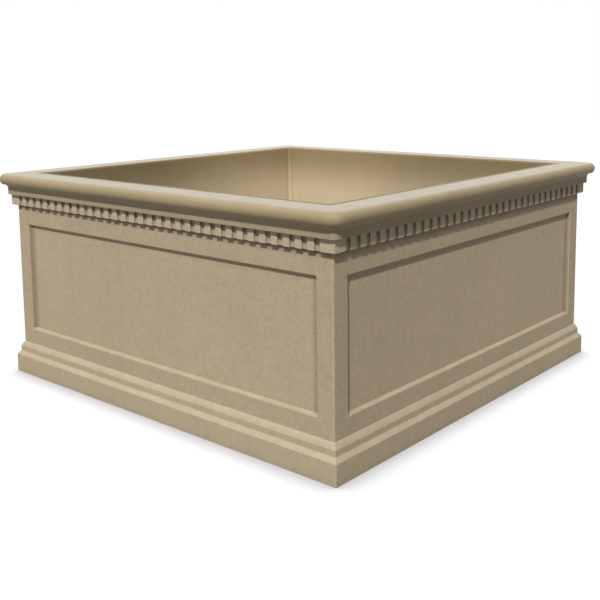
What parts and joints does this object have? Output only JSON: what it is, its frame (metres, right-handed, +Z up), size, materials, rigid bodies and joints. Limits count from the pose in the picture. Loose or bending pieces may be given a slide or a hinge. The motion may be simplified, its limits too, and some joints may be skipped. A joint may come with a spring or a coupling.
{
  "type": "square planter",
  "caption": "Square floor planter with recessed panel walls, stepped plinth, dentil course and rolled rim, holding a lift-out tub with a plugged drain.",
  "frame": {"origin": "centre of the footprint, on the ground under the plinth", "axes": "+Z up, -Y towards the front wall, +X towards the right wall"},
  "size_m": [0.914, 0.914, 0.425],
  "materials": {
    "stone_finish": "stone-coloured moulded composite with a fine sand-cast grain",
    "rim_finish": "the same composite, rubbed smooth to a satin sheen",
    "tub_finish": "smooth stone-coloured moulded composite",
    "angle_metal": "mill-finish extruded angle",
    "plywood": "exterior plywood",
    "timber": "sawn treated softwood",
    "rubber": "black moulded rubber",
    "drain_plastic": "dark grey moulded plastic",
    "screw_steel": "stainless steel"
  },
  "bodies": {
    "case": {"wall_front": "stone_finish", "plinth_front": "stone_finish", "dentil_course_front": "stone_finish", "base_rail_front": "angle_metal", "top_rail_front": "angle_metal", "wall_right": "stone_finish", "plinth_right": "stone_finish", "dentil_course_right": "stone_finish", "base_rail_right": "angle_metal", "top_rail_right": "angle_metal", "wall_back": "stone_finish", "plinth_back": "stone_finish", "dentil_course_back": "stone_finish", "base_rail_back": "angle_metal", "top_rail_back": "angle_metal", "wall_left": "stone_finish", "plinth_left": "stone_finish", "dentil_course_left": "stone_finish", "base_rail_left": "angle_metal", "top_rail_left": "angle_metal", "corner_post_front_left": "angle_metal", "corner_post_front_right": "angle_metal", "corner_post_back_right": "angle_metal", "corner_post_back_left": "angle_metal", "rim_ring": "rim_finish", "floor_board": "plywood", "bearer_left": "timber", "bearer_right": "timber", "foot_pads": "rubber", "corner_screws": "screw_steel", "top_rail_screws": "screw_steel", "plinth_screws": "screw_steel", "rim_screws": "screw_steel", "floor_screws": "screw_steel"},
    "liner": {"liner": "tub_finish", "drain_flange": "drain_plastic", "drain_gasket": "rubber", "drain_nut": "drain_plastic"},
    "plug": {"drain_plug": "drain_plastic", "plug_seal": "rubber"}
  },
  "joints": [
    {"name": "liner_lift", "type": "slide", "parent": "case", "child": "liner", "axis": [0, 0, 1], "range_m": [0, 0.42]},
    {"name": "plug_pull", "type": "slide", "parent": "liner", "child": "plug", "axis": [0, 0, 1], "range_m": [0, 0.05]}
  ]
}
